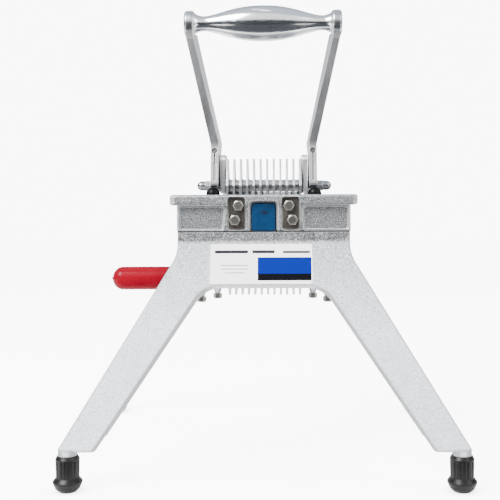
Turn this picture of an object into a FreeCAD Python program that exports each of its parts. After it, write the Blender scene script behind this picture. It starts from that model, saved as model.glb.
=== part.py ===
import FreeCAD, Part
import math
import os

# Manual push-through onion slicer on four splayed legs, in millimetres.
# X runs left to right, the front is at -Y, +Z is up. The origin is on the
# table plane, under the middle of the machine.

Vector = FreeCAD.Vector

# Slicing comb
PITCH = 6.6                 # quarter inch slices and one blade
FIN_COUNT = 12
BLADE_COUNT = FIN_COUNT - 1
FIN_THIN = 2.2              # fin plate above the frame
FIN_THICK = 2.6             # blunt comb tooth that passes between the blades
FIN_TOP_Z = 308.0
FIN_STEP_Z = 269.0
FIN_LOW_Z = 168.6
FIN_TOP_FRONT_Y = -78.0
FIN_TOP_BACK_Y = -69.0
FIN_NECK = (-58.0, 288.6)     # each fin steps down behind its front tongue
FIN_BACK_Y = 40.0
BLADE_THICK = 0.3
BLADE_Z = (241.0, 256.0)

# Hinge at the back of the frame
HINGE_Y = 92.0
HINGE_Z = 281.3
HINGE_PIN_R = 4.0
HINGE_BUSH_R = 5.8
HINGE_EYE_R = 7.8
RUN_CLEARANCE = 0.05
SWING_R = 180.0             # radius of the comb's front edge about the hinge
LUG_X = (44.9, 51.5)

# Main frame
FRAME_BOTTOM_Z = 236.8
FLANGE_BOTTOM_Z = 262.0
FRAME_TOP_Z = 272.3
BODY_HALF_X = 84.2
BODY_HALF_Y = 111.0
FLANGE_HALF_X = 91.0
FLANGE_HALF_Y = 115.0
WINDOW_HALF_X = 44.5
WINDOW_Y = (-100.0, 70.0)
REAR_RIB = (36.2, 73.0, 77.0, 275.4)    # half length, front and back in y, top z: behind the window
POCKET_DEPTH = 3.5
POCKET_DRAFT = 1.3
SEAM_ROUND = 1.2
NOTCH_HALF_X = 14.6         # at the front face, before its bevel narrows it
NOTCH_TOP_Z = 266.6
NOTCH_BEVEL = (2.8, 3.0)    # width and depth
SEAT_X = (17.3, 35.0)       # recess that each clamp plate sits in
SEAT_TOP_Z = 270.4
SEAT_FACE_Y = -109.0

# Blade rails and their clamps
RAIL_DEPTH = 11.0
RAIL_Z = (237.5, 269.5)
RAIL_HALF_X = 44.1
RAIL_SLOT_DEPTH = 6.0
BLADE_PIN_R = 1.5
PLATE_SIZE = (16.4, 30.8, 2.5)
PLATE_X = 26.1
PLATE_Z = 254.1
PLATE_CORNER_R = 3.0
CLAMP_UPPER = (24.4, 261.7)
CLAMP_LOWER = (27.8, 247.8)
CLAMP_BOLT_R = 3.1
CLAMP_HEAD_AF = 9.4
CLAMP_HEAD_H = 4.4
CLAMP_BOLT_LENGTH = 15.0
SIZE_BLOCK_HALF_X = 11.3
SIZE_BLOCK_Z = (237.0, 263.6)

# Leg castings
LEAN_DEG = 14.0
LEG_TOP_Z = 227.0
LEG_PLATE = 13.0
LEG_HALF_X = 83.3
KNEE_Z = 215.4
KNEE_R = 35.0
ARCH_Z = 185.4
FRONT_ARCH_HALF_X = 57.0
REAR_ARCH_HALF_X = 63.0
ARCH_R = 28.0
LEG_END_Z = 37.0
FRONT_FOOT_X = 181.3
REAR_FOOT_X = 190.5         # the back pair stands a little wider
FRONT_OUTER_OFFSET = 9.8    # from the foot's middle to the leg's outer edge
REAR_OUTER_OFFSET = 5.0
LEG_INNER_OFFSET = 23.9
TAB_Z = 226.8
FRONT_TAB_BACK_Y = 14.0
REAR_TAB_BACK_Y = 58.0
THROAT_HALF_X = 44.6
FOOT_BOSS_R = 8.9
FOOT_BOSS_H = 5.5
FOOT_STUB_R = 7.6
FOOT_HEIGHT = 33.0
FOOT_STUB_LOW_Z = 13.0
OUTER_LEG_BOLT = (63.2, 75.0, 169.8)    # x, distance from middle in y, head top z
INNER_LEG_BOLT = (50.4, 25.0, 167.7)
LEG_BOLT_R = 2.0
LEG_BOLT_TOP_Z = 250.0
LEG_BOLT_AF = 8.0
LEG_BOLT_HEAD_H = 5.2
LEG_BOSS_R = 5.4
LEG_BOSS_NOSE = 9.0         # each boss tapers to its bolt head

# Pusher
TIE_ROD_Y = -60.0
TIE_ROD_R = 3.1
SPACER_R = 6.1
CHEEK_X = (37.4, 43.6)
CHEEK_TOP_Z = 312.2
CHEEK_FRONT_Y = -80.0
CHEEK_POST_Y = -62.0        # back of the upright post at the cheek's front
CHEEK_ROUND = 1.8
ARM_X = (45.1, 52.8)
ARM_FOOT_Z = 280.0
ARM_BEND_Z = 322.1
ARM_TOP_X = (70.2, 77.6)
ARM_TOP_Z = 433.0
ARM_INNER_FLARE = 3.8       # a bevel widens each arm behind its front face, on the inner side
ARM_BEVEL_DEPTH = 9.0
ARM_SLANT = 8.0             # the front face leans back by this much up to the bend
ARM_FRONT_Y = -90.0
ARM_BACK_Y = -38.0
GRIP_Y = -80.0
GRIP_Z = 443.3
GRIP_R = 17.75
GRIP_NECK_R = 7.5
GRIP_NECK_X = 59.8
RING_X = (68.3, 78.6)
RING_R = 12.9
ACORN_END_X = 68.4
ACORN_R = 4.9
ACORN_AF = 10.2
WASHER_R = 6.0
BUMPER_X = 50.3
BUMPER_Y = -87.6
BUMPER_R = 6.8
BUMPER_H = 7.4

# Side handle
SIDE_ROD_Y = -93.0
SIDE_ROD_Z = 190.5
SIDE_ROD_R = 5.0
SLEEVE_R = 11.3
NIB_R = 1.4
SLEEVE_X = (-149.3, -88.0)
SIDE_BOSS_X = (-84.0, -60.0)
SIDE_BOSS_R = 9.5

# Blank label
LABEL_SIZE = (98.0, 38.7, 0.4)
LABEL_CENTRE = (-2.4, 205.7)


def box(x, y, z):
    """A box from three (low, high) pairs."""
    size = (x[1] - x[0], y[1] - y[0], z[1] - z[0])
    return Part.makeBox(size[0], size[1], size[2], Vector(x[0], y[0], z[0]))


def rod(axis, start, radius, length):
    """A cylinder along a row axis, from its start point."""
    direction = {"x": Vector(1, 0, 0), "y": Vector(0, 1, 0), "z": Vector(0, 0, 1)}[axis]
    return Part.makeCylinder(radius, length, Vector(*start), direction)


def hexagon(axis, start, across_flats, length):
    """A hexagonal prism along a row axis."""
    corner_r = across_flats / math.sqrt(3.0)
    corners = []
    for step in range(7):
        angle = math.radians(60.0 * step)
        a = corner_r * math.cos(angle)
        b = corner_r * math.sin(angle)
        offset = {"x": Vector(0, a, b), "y": Vector(a, 0, b), "z": Vector(a, b, 0)}[axis]
        corners.append(Vector(*start) + offset)
    face = Part.Face(Part.makePolygon(corners))
    direction = {"x": Vector(length, 0, 0), "y": Vector(0, length, 0), "z": Vector(0, 0, length)}[axis]
    return face.extrude(direction)


def hex_head(axis, start, across_flats, length, crown_at_end):
    """A hexagonal head with its outer corners turned to a cone."""
    head = hexagon(axis, start, across_flats, length)
    corner_r = across_flats / math.sqrt(3.0)
    bevel = corner_r - 0.43 * across_flats
    direction = {"x": Vector(1, 0, 0), "y": Vector(0, 1, 0), "z": Vector(0, 0, 1)}[axis]
    wide = corner_r + length
    if crown_at_end:
        cone = Part.makeCone(wide, corner_r - bevel, length, Vector(*start), direction)
    else:
        cone = Part.makeCone(corner_r - bevel, wide, length, Vector(*start), direction)
    return head.common(cone)


def rounded_wire(points, to_vector):
    """A closed wire through (a, b, radius) points, each corner an arc of its radius."""
    count = len(points)
    spans = []
    for index in range(count):
        before = Vector(*points[index - 1][:2], 0)
        here = Vector(*points[index][:2], 0)
        after = Vector(*points[(index + 1) % count][:2], 0)
        radius = points[index][2]
        if radius <= 0:
            spans.append((here, None, here))
            continue
        back = (before - here).normalize()
        ahead = (after - here).normalize()
        half = back.getAngle(ahead) / 2.0
        reach = radius / math.tan(half)
        bisector = (back + ahead).normalize()
        centre = here + bisector * (radius / math.sin(half))
        spans.append((here + back * reach, centre - bisector * radius, here + ahead * reach))
    edges = []
    for index in range(count):
        start, middle, end = spans[index]
        following = spans[(index + 1) % count][0]
        if middle is not None:
            through = [to_vector(point.x, point.y) for point in (start, middle, end)]
            arc = Part.Arc(*through)
            edges.append(arc.toShape())
        if end.distanceToPoint(following) > 1e-6:
            edges.append(Part.makeLine(to_vector(end.x, end.y), to_vector(following.x, following.y)))
    return Part.Wire(edges)


def slab_facing_y(points, y_low, y_high):
    """A rounded outline in X and Z, extruded along Y."""
    wire = rounded_wire(points, lambda a, b: Vector(a, y_low, b))
    return Part.Face(wire).extrude(Vector(0, y_high - y_low, 0))


def slab_facing_x(points, x_low, x_high):
    """A rounded outline in Y and Z, extruded along X."""
    wire = rounded_wire(points, lambda a, b: Vector(x_low, a, b))
    return Part.Face(wire).extrude(Vector(x_high - x_low, 0, 0))


def slab_facing_z(points, z_low, z_high):
    """A rounded outline in X and Y, extruded upward."""
    wire = rounded_wire(points, lambda a, b: Vector(a, b, z_low))
    return Part.Face(wire).extrude(Vector(0, 0, z_high - z_low))


def rectangle(x, y, radius):
    """Corner points of a rectangle for the slab functions."""
    return [(x[0], y[0], radius), (x[1], y[0], radius), (x[1], y[1], radius), (x[0], y[1], radius)]


def drafted_pocket(points, y_face, y_floor, draft):
    """A pocket cutter whose walls slope inwards from the face to the floor."""
    middle_x = sum(point[0] for point in points) / len(points)
    middle_z = sum(point[1] for point in points) / len(points)
    mouth = []
    for x, z, radius in points:
        mouth_x = x + math.copysign(draft, x - middle_x)
        mouth_z = z + math.copysign(draft, z - middle_z)
        mouth.append((mouth_x, mouth_z, radius))
    wires = [
        rounded_wire(mouth, lambda a, b: Vector(a, y_face, b)),
        rounded_wire(points, lambda a, b: Vector(a, y_floor, b)),
    ]
    above = slab_facing_y(mouth, y_face - 1.0, y_face)
    return Part.makeLoft(wires, True, True).fuse(above)


def mirror_x(shape):
    return shape.mirror(Vector(0, 0, 0), Vector(1, 0, 0))


def mirror_y(shape):
    return shape.mirror(Vector(0, 0, 0), Vector(0, 1, 0))


def both_sides(shape):
    """The shape and its mirror image about the middle plane, as two solids."""
    return Part.Compound([shape, mirror_x(shape)])


def fused(shapes):
    """One solid from overlapping shapes."""
    result = shapes[0]
    for shape in shapes[1:]:
        result = result.fuse(shape)
    return result.removeSplitter()


def round_edges(shape, radius, chosen):
    """Fillet the edges that the test picks out."""
    edges = [edge for edge in shape.Edges if chosen(edge)]
    return shape.makeFillet(radius, edges)


def vertical(edge):
    box_of = edge.BoundBox
    return box_of.ZLength > 1.0 and box_of.XLength < 0.01 and box_of.YLength < 0.01


# ---- frame body -------------------------------------------------------------

def front_face_relief():
    """What is cut from the front and back faces: side pockets and clamp seats."""
    outer_x = BODY_HALF_X - 3.0
    inner_low_x = 40.0
    inner_high_x = 38.2
    pocket = [
        (inner_low_x, FRAME_BOTTOM_Z + 2.0, 2.5),
        (outer_x, FRAME_BOTTOM_Z + 2.0, 2.5),
        (outer_x, FLANGE_BOTTOM_Z - 1.6, 2.5),
        (inner_high_x, FLANGE_BOTTOM_Z - 1.6, 4.0),
    ]
    cuts = [drafted_pocket(pocket, -BODY_HALF_Y, -BODY_HALF_Y + POCKET_DEPTH, POCKET_DRAFT)]
    seat = rectangle(SEAT_X, (FRAME_BOTTOM_Z + 1.2, SEAT_TOP_Z), 3.2)
    cuts.append(slab_facing_y(seat, -FLANGE_HALF_Y - 1.0, SEAT_FACE_Y))
    return cuts + [mirror_x(cut) for cut in cuts]


def clamp_hole_centres():
    return [CLAMP_UPPER, CLAMP_LOWER, (-CLAMP_UPPER[0], CLAMP_UPPER[1]), (-CLAMP_LOWER[0], CLAMP_LOWER[1])]


def clamp_holes(y_low, y_high):
    hole_r = CLAMP_BOLT_R + RUN_CLEARANCE
    return [rod("y", (x, y_low, z), hole_r, y_high - y_low) for x, z in clamp_hole_centres()]


def main_frame():
    """Cast frame: a ring of solid walls with a rolled top flange, two hinge lugs and a low rib behind the window."""
    body_z = (FRAME_BOTTOM_Z, FLANGE_BOTTOM_Z + 1.0)
    body = box((-BODY_HALF_X, BODY_HALF_X), (-BODY_HALF_Y, BODY_HALF_Y), body_z)
    body = round_edges(body, 3.0, vertical)
    body = round_edges(body, SEAM_ROUND, lambda edge: edge.BoundBox.ZMax < FRAME_BOTTOM_Z + 0.01)
    flange = box(
        (-FLANGE_HALF_X, FLANGE_HALF_X), (-FLANGE_HALF_Y, FLANGE_HALF_Y), (FLANGE_BOTTOM_Z, FRAME_TOP_Z)
    )
    flange = round_edges(flange, 7.0, vertical)
    flange = flange.makeFillet(2.6, flange.Edges)
    lug = slab_facing_x(
        [
            (HINGE_Y - HINGE_EYE_R - 4.0, FRAME_TOP_Z - 2.0, 0),
            (HINGE_Y + HINGE_EYE_R + 4.0, FRAME_TOP_Z - 2.0, 0),
            (HINGE_Y + HINGE_EYE_R, HINGE_Z + HINGE_EYE_R, HINGE_EYE_R - 0.1),
            (HINGE_Y - HINGE_EYE_R, HINGE_Z + HINGE_EYE_R, HINGE_EYE_R - 0.1),
        ],
        LUG_X[0],
        LUG_X[1],
    )
    rib_half_x, rib_front_y, rib_back_y, rib_top_z = REAR_RIB
    rib = box((-rib_half_x, rib_half_x), (rib_front_y, rib_back_y), (FRAME_TOP_Z - 2.0, rib_top_z))
    frame = fused([body, flange, lug, mirror_x(lug), rib])
    window = box((-WINDOW_HALF_X, WINDOW_HALF_X), WINDOW_Y, (FRAME_BOTTOM_Z - 1.0, FRAME_TOP_Z + 1.0))
    window = round_edges(window, 2.0, vertical)
    front_cuts = front_face_relief()
    bevel_width, bevel_depth = NOTCH_BEVEL
    bevel_y = -BODY_HALF_Y + bevel_depth
    wide = rectangle((-NOTCH_HALF_X, NOTCH_HALF_X), (FRAME_BOTTOM_Z - 6.0, NOTCH_TOP_Z), 5.0)
    narrow_x = NOTCH_HALF_X - bevel_width
    narrow = rectangle((-narrow_x, narrow_x), (FRAME_BOTTOM_Z - 6.0, NOTCH_TOP_Z - bevel_width), 3.2)
    mouth = slab_facing_y(wide, -FLANGE_HALF_Y - 1.0, -BODY_HALF_Y)
    bevel = drafted_pocket(narrow, -BODY_HALF_Y, bevel_y, bevel_width)
    throat = slab_facing_y(narrow, bevel_y - 0.5, WINDOW_Y[0] + 1.0)
    hollow = slab_facing_z(
        rectangle((INNER_LEG_BOLT[0] + 7.0, BODY_HALF_X - 5.0), (-BODY_HALF_Y + 12.0, BODY_HALF_Y - 12.0), 5.0),
        FRAME_BOTTOM_Z - 1.0,
        FLANGE_BOTTOM_Z + 2.0,
    )
    for side_y in (-OUTER_LEG_BOLT[1], OUTER_LEG_BOLT[1]):
        height = FLANGE_BOTTOM_Z - FRAME_BOTTOM_Z + 6.0
        hollow = hollow.cut(rod("z", (OUTER_LEG_BOLT[0], side_y, FRAME_BOTTOM_Z - 2.0), 8.0, height))
    side_pocket = slab_facing_x(
        rectangle((-BODY_HALF_Y + 12.0, BODY_HALF_Y - 12.0), (FRAME_BOTTOM_Z + 2.4, FLANGE_BOTTOM_Z - 1.6), 4.0),
        BODY_HALF_X - 2.0,
        BODY_HALF_X + 1.0,
    )
    cuts = [window, mouth, bevel, throat, hollow, mirror_x(hollow), side_pocket, mirror_x(side_pocket)]
    cuts += front_cuts + [mirror_y(cut) for cut in front_cuts]
    cuts += clamp_holes(-FLANGE_HALF_Y, WINDOW_Y[0] + 1.0)
    cuts += clamp_holes(WINDOW_Y[1] - 1.0, FLANGE_HALF_Y)
    cuts.append(rod("x", (-LUG_X[1] - 1.0, HINGE_Y, HINGE_Z), HINGE_PIN_R + 0.02, 2.0 * LUG_X[1] + 2.0))
    hole_r = LEG_BOLT_R + RUN_CLEARANCE
    for sign in (-1, 1):
        for x, y in (
            (OUTER_LEG_BOLT[0], -OUTER_LEG_BOLT[1]), (OUTER_LEG_BOLT[0], OUTER_LEG_BOLT[1]),
            (INNER_LEG_BOLT[0], -INNER_LEG_BOLT[1]),
        ):
            depth = LEG_BOLT_TOP_Z - FRAME_BOTTOM_Z + 2.0
            cuts.append(rod("z", (sign * x, y, FRAME_BOTTOM_Z - 1.0), hole_r, depth))
    cuts.append(rod("z", (BUMPER_X, BUMPER_Y, FRAME_TOP_Z - 6.0), 2.0, 8.0))
    cuts.append(rod("z", (-BUMPER_X, BUMPER_Y, FRAME_TOP_Z - 6.0), 2.0, 8.0))
    for cut in cuts:
        frame = frame.cut(cut)
    return frame


def lean(shape):
    """Tip a part that was drawn upright in the front plane, foot end outwards."""
    turned = shape.copy()
    turned.rotate(Vector(0, -BODY_HALF_Y, LEG_TOP_Z), Vector(1, 0, 0), -LEAN_DEG)
    return turned


def leaned_z(z):
    """Height in the upright drawing that comes out at this height once leaned."""
    return LEG_TOP_Z - (LEG_TOP_Z - z) / math.cos(math.radians(LEAN_DEG))


def leg_face_y(z):
    """Front face of the leaned leg plate at a height."""
    return -BODY_HALF_Y - (LEG_TOP_Z - z) * math.tan(math.radians(LEAN_DEG))


def foot_y():
    middle = LEG_PLATE / 2.0 / math.cos(math.radians(LEAN_DEG))
    return leg_face_y(LEG_END_Z) + middle


def leg_outline(foot_x, outer_offset, arch_x):
    """Half of the leg casting's front outline, then its mirror image."""
    outer_x = foot_x + outer_offset
    inner_x = foot_x - LEG_INNER_OFFSET
    half = [
        (LEG_HALF_X, leaned_z(LEG_TOP_Z), 0),
        (LEG_HALF_X, leaned_z(KNEE_Z), KNEE_R),
        (outer_x, leaned_z(LEG_END_Z), 3.0),
        (inner_x, leaned_z(LEG_END_Z), 4.0),
        (arch_x, leaned_z(ARCH_Z), ARCH_R),
    ]
    other = [(-x, z, radius) for x, z, radius in reversed(half)]
    return half + other


def leg_rib_outline(foot_x, arch_x):
    """The raised border behind the plate, along the arch and the inner leg edges."""
    border = 5.5
    inner_x = foot_x - LEG_INNER_OFFSET
    low_z = leaned_z(LEG_END_Z + 14.0)
    slope = (inner_x - arch_x) / (ARCH_Z - LEG_END_Z)
    low_inner = inner_x - slope * 14.0
    half = [
        (low_inner, low_z, 0),
        (arch_x, leaned_z(ARCH_Z), ARCH_R),
    ]
    outer = [
        (arch_x + border * 0.6, leaned_z(ARCH_Z + border), ARCH_R + border),
        (low_inner + border * 1.3, low_z, 0),
    ]
    left = [(-x, z, radius) for x, z, radius in reversed(half)]
    left_outer = [(-x, z, radius) for x, z, radius in reversed(outer)]
    return half + left + left_outer + outer


def leg_casting(foot_x, outer_offset, arch_x, bolts, tab_back_y, with_side_boss):
    """A leaning plate cut to two legs, with an upright lip and bolting tabs on top."""
    plate = slab_facing_y(leg_outline(foot_x, outer_offset, arch_x), -BODY_HALF_Y, -BODY_HALF_Y + LEG_PLATE)
    front_edges = [
        edge for edge in plate.Edges
        if edge.BoundBox.YLength < 0.01 and abs(edge.BoundBox.YMin + BODY_HALF_Y) < 0.01
        and edge.BoundBox.ZMax < LEG_TOP_Z - 0.5
    ]
    plate = plate.makeFillet(1.8, front_edges)
    plate_back_y = -BODY_HALF_Y + LEG_PLATE
    rib = slab_facing_y(leg_rib_outline(foot_x, arch_x), plate_back_y - 1.0, plate_back_y + 5.0)
    lip = box((-LEG_HALF_X, LEG_HALF_X), (-BODY_HALF_Y, plate_back_y), (LEG_TOP_Z - 3.0, FRAME_BOTTOM_Z))
    tab = box((THROAT_HALF_X, LEG_HALF_X - 3.0), (-BODY_HALF_Y + 2.0, -tab_back_y), (TAB_Z, FRAME_BOTTOM_Z))
    tab = round_edges(tab, 6.0, lambda edge: vertical(edge) and edge.BoundBox.YMax > -tab_back_y - 0.1)
    pieces = [lean(plate), lean(rib), lip, tab, mirror_x(tab)]
    for sign in (-1, 1):
        for x, reach, head_top in bolts:
            nose_low = head_top + 0.1
            boss_low = nose_low + LEG_BOSS_NOSE
            place = Vector(sign * x, -reach, nose_low)
            pieces.append(Part.makeCone(LEG_BOLT_R + 0.9, LEG_BOSS_R, LEG_BOSS_NOSE, place))
            pieces.append(rod("z", (sign * x, -reach, boss_low), LEG_BOSS_R, FRAME_BOTTOM_Z - boss_low))
        stub_length = FOOT_HEIGHT + FOOT_BOSS_H - FOOT_STUB_LOW_Z - 0.5
        pieces.append(rod("z", (sign * foot_x, foot_y(), FOOT_HEIGHT), FOOT_BOSS_R, FOOT_BOSS_H))
        pieces.append(rod("z", (sign * foot_x, foot_y(), FOOT_STUB_LOW_Z), FOOT_STUB_R, stub_length))
    if with_side_boss:
        length = SIDE_BOSS_X[1] - SIDE_BOSS_X[0]
        pieces.append(rod("x", (SIDE_BOSS_X[0], SIDE_ROD_Y, SIDE_ROD_Z), SIDE_BOSS_R, length))
        pieces.append(
            box(SIDE_BOSS_X, (leg_face_y(SIDE_ROD_Z) + 5.0, SIDE_ROD_Y), (SIDE_ROD_Z - 7.0, SIDE_ROD_Z + 7.0))
        )
    casting = fused(pieces)
    for sign in (-1, 1):
        for x, reach, head_top in bolts:
            hole_r = LEG_BOLT_R + RUN_CLEARANCE
            casting = casting.cut(rod("z", (sign * x, -reach, head_top - 5.0), hole_r, 80.0))
    if with_side_boss:
        bore_r = SIDE_ROD_R + RUN_CLEARANCE
        casting = casting.cut(rod("x", (SIDE_BOSS_X[0] - 1.0, SIDE_ROD_Y, SIDE_ROD_Z), bore_r, 60.0))
    return casting


def rubber_foot():
    """Fluted crutch tip with a spreading skirt and a domed tread, standing on the origin."""
    socket_r = FOOT_STUB_R + RUN_CLEARANCE
    body_r = 11.2
    skirt_r = 13.6
    points = [
        Vector(0, 0, 0), Vector(8.0, 0, 0), Vector(11.4, 0, 3.0), Vector(skirt_r, 0, 8.0),
        Vector(skirt_r, 0, 9.6), Vector(body_r - 0.4, 0, 13.0), Vector(body_r, 0, FOOT_HEIGHT - 3.0),
        Vector(body_r - 1.6, 0, FOOT_HEIGHT - 0.1), Vector(socket_r, 0, FOOT_HEIGHT - 0.1),
        Vector(socket_r, 0, FOOT_STUB_LOW_Z - 0.5), Vector(0, 0, FOOT_STUB_LOW_Z - 0.5), Vector(0, 0, 0),
    ]
    foot = Part.Face(Part.makePolygon(points)).revolve(Vector(0, 0, 0), Vector(0, 0, 1), 360.0)
    flute_count = 12
    for index in range(flute_count):
        angle = 2.0 * math.pi * (index + 0.5) / flute_count
        place = (12.4 * math.cos(angle), 12.4 * math.sin(angle), 14.0)
        foot = foot.cut(rod("z", place, 2.0, FOOT_HEIGHT - 14.0 - 4.0))
    return foot


def placed(shape, x, y, z=0.0):
    moved = shape.copy()
    moved.translate(Vector(x, y, z))
    return moved


def blade_x(index):
    return (index - (BLADE_COUNT - 1) / 2.0) * PITCH


def fin_x(index):
    return (index - (FIN_COUNT - 1) / 2.0) * PITCH


def pin_place(rail_y):
    return (-RAIL_HALF_X + 2.0, rail_y, sum(BLADE_Z) / 2.0)


FRONT_RAIL_Y = (WINDOW_Y[0], WINDOW_Y[0] + RAIL_DEPTH)
REAR_RAIL_Y = (WINDOW_Y[1] - RAIL_DEPTH, WINDOW_Y[1])
FRONT_PIN_Y = FRONT_RAIL_Y[1] - 3.5
REAR_PIN_Y = REAR_RAIL_Y[0] + 3.5


def blade_rail(y, slot_y, pin_y):
    """A rail with one slot for each blade and a cross bore for the pin that holds them."""
    rail = slab_facing_z(rectangle((-RAIL_HALF_X, RAIL_HALF_X), y, 2.0), RAIL_Z[0], RAIL_Z[1])
    for index in range(BLADE_COUNT):
        middle = blade_x(index)
        half = BLADE_THICK / 2.0 + RUN_CLEARANCE
        slot = box((middle - half, middle + half), slot_y, (BLADE_Z[0] - RUN_CLEARANCE, RAIL_Z[1] + 1.0))
        rail = rail.cut(slot)
    bore_start = (-RAIL_HALF_X - 1.0, pin_y, pin_place(pin_y)[2])
    bore = rod("x", bore_start, BLADE_PIN_R + RUN_CLEARANCE, 2.0 * RAIL_HALF_X)
    rail = rail.cut(bore)
    for hole in clamp_holes(y[0] - 1.0, y[1] + 1.0):
        rail = rail.cut(hole)
    return rail


def front_blade_rail():
    slot_y = (FRONT_RAIL_Y[1] - RAIL_SLOT_DEPTH, FRONT_RAIL_Y[1] + 1.0)
    return blade_rail(FRONT_RAIL_Y, slot_y, FRONT_PIN_Y)


def rear_blade_rail():
    slot_y = (REAR_RAIL_Y[0] - 1.0, REAR_RAIL_Y[0] + RAIL_SLOT_DEPTH)
    return blade_rail(REAR_RAIL_Y, slot_y, REAR_PIN_Y)


def blade(index):
    """A thin strip with a ground upper edge and a pin hole near each end."""
    middle = blade_x(index)
    half = BLADE_THICK / 2.0
    end_gap = 0.3
    ground = 2.0
    y_low = FRONT_RAIL_Y[1] - RAIL_SLOT_DEPTH + end_gap
    y_high = REAR_RAIL_Y[0] + RAIL_SLOT_DEPTH - end_gap
    section = [
        Vector(middle - half, y_low, BLADE_Z[0]), Vector(middle + half, y_low, BLADE_Z[0]),
        Vector(middle + half, y_low, BLADE_Z[1] - ground), Vector(middle + 0.05, y_low, BLADE_Z[1]),
        Vector(middle - 0.05, y_low, BLADE_Z[1]), Vector(middle - half, y_low, BLADE_Z[1] - ground),
        Vector(middle - half, y_low, BLADE_Z[0]),
    ]
    strip = Part.Face(Part.makePolygon(section)).extrude(Vector(0, y_high - y_low, 0))
    for pin_y in (FRONT_PIN_Y, REAR_PIN_Y):
        hole = rod("x", (middle - 2.0, pin_y, pin_place(pin_y)[2]), BLADE_PIN_R + RUN_CLEARANCE, 4.0)
        strip = strip.cut(hole)
    return strip


def blade_pins():
    length = 2.0 * (RAIL_HALF_X - 2.0)
    return Part.Compound([rod("x", pin_place(y), BLADE_PIN_R, length) for y in (FRONT_PIN_Y, REAR_PIN_Y)])


def front_clamp_plate():
    width, height, thick = PLATE_SIZE
    face_y = SEAT_FACE_Y - 0.05
    outline = rectangle(
        (PLATE_X - width / 2.0, PLATE_X + width / 2.0),
        (PLATE_Z - height / 2.0, PLATE_Z + height / 2.0),
        PLATE_CORNER_R,
    )
    plate = slab_facing_y(outline, face_y - thick, face_y)
    for x, z in (CLAMP_UPPER, CLAMP_LOWER):
        plate = plate.cut(rod("y", (x, face_y - thick - 1.0, z), CLAMP_BOLT_R + RUN_CLEARANCE, thick + 2.0))
    return plate


def clamp_bolt(x, z):
    """Hex head bolt that enters from the front."""
    seat_y = SEAT_FACE_Y - 0.05 - PLATE_SIZE[2] - 0.02
    head = hex_head("y", (x, seat_y - CLAMP_HEAD_H, z), CLAMP_HEAD_AF, CLAMP_HEAD_H, False)
    shank = rod("y", (x, seat_y - 1.0, z), CLAMP_BOLT_R, CLAMP_BOLT_LENGTH)
    return head.fuse(shank)


def clamp_bolts():
    """Four bolts through the front wall and four through the back wall."""
    front = [clamp_bolt(x, z) for x, z in clamp_hole_centres()]
    return Part.Compound(front + [mirror_y(bolt) for bolt in front])


def size_block():
    """Coloured block in the front notch that marks the slice size."""
    block = slab_facing_y(
        rectangle((-SIZE_BLOCK_HALF_X, SIZE_BLOCK_HALF_X), SIZE_BLOCK_Z, 2.6),
        -BODY_HALF_Y + 0.4,
        FRONT_RAIL_Y[0] - 0.05,
    )
    front = [edge for edge in block.Edges if edge.BoundBox.YMax < -BODY_HALF_Y + 0.45]
    return block.makeFillet(0.8, front)


def bumper():
    """Rubber half dome with a stem pressed into the frame top."""
    foot_z = FRAME_TOP_Z + 0.02
    rim_z = FRAME_TOP_Z + BUMPER_H - BUMPER_R
    dome = Part.makeSphere(BUMPER_R, Vector(0, 0, rim_z), Vector(0, 0, 1), 0, 90, 360)
    base = rod("z", (0, 0, foot_z), BUMPER_R, rim_z - foot_z)
    stem = rod("z", (0, 0, FRAME_TOP_Z - 5.0), 2.0 - RUN_CLEARANCE, 6.0)
    return fused([dome, base, stem])


def leg_bolts(bolts, side_y):
    """The bolts of one leg casting, on both sides."""
    solids = []
    for bolt in bolts:
        shape = leg_bolt(bolt, side_y)
        solids += [shape, mirror_x(shape)]
    return Part.Compound(solids)


def leg_bolt(bolt, side_y):
    """Long bolt that goes up through a leg casting's boss into the frame."""
    x, reach, head_top = bolt
    y = side_y * reach
    head = hex_head("z", (x, y, head_top - LEG_BOLT_HEAD_H), LEG_BOLT_AF, LEG_BOLT_HEAD_H, False)
    shank = rod("z", (x, y, head_top - 1.0), LEG_BOLT_R, LEG_BOLT_TOP_Z - head_top)
    return head.fuse(shank)


def side_handle_rod():
    length = SIDE_BOSS_X[1] + 8.0 - (SLEEVE_X[0] + 3.0)
    return rod("x", (SLEEVE_X[0] + 3.0, SIDE_ROD_Y, SIDE_ROD_Z), SIDE_ROD_R, length)


def side_handle_sleeve():
    """Dipped vinyl sleeve with a domed end and a small drip nib."""
    mouth_x = SLEEVE_X[1]
    dome_depth = 10.3
    shoulder_x = SLEEVE_X[0] + dome_depth
    points = []
    for step in range(9):
        angle = math.radians(90.0 * step / 8.0)
        points.append(Vector(shoulder_x - dome_depth * math.cos(angle), SLEEVE_R * math.sin(angle), 0))
    points += [Vector(mouth_x - 1.0, SLEEVE_R, 0), Vector(mouth_x, SLEEVE_R - 1.0, 0), Vector(mouth_x, 0, 0)]
    curve = Part.BSplineCurve()
    curve.interpolate(points[:9])
    lines = [Part.makeLine(points[i], points[i + 1]) for i in range(8, len(points) - 1)]
    closing = Part.makeLine(points[-1], points[0])
    face = Part.Face(Part.Wire([curve.toShape()] + lines + [closing]))
    solid = face.revolve(Vector(0, 0, 0), Vector(1, 0, 0), 360.0)
    solid = fused([solid, Part.makeSphere(NIB_R, Vector(SLEEVE_X[0] + 0.3, 0, 0))])
    solid.translate(Vector(0, SIDE_ROD_Y, SIDE_ROD_Z))
    bore = rod("x", (SLEEVE_X[0] + 2.9, SIDE_ROD_Y, SIDE_ROD_Z), SIDE_ROD_R + RUN_CLEARANCE, 80.0)
    return solid.cut(bore)


def side_handle_nut():
    nut = hexagon("x", (SIDE_BOSS_X[1] + 0.05, SIDE_ROD_Y, SIDE_ROD_Z), 15.0, 6.5)
    return nut.cut(rod("x", (SIDE_BOSS_X[1] - 1.0, SIDE_ROD_Y, SIDE_ROD_Z), SIDE_ROD_R + RUN_CLEARANCE, 10.0))


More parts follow.
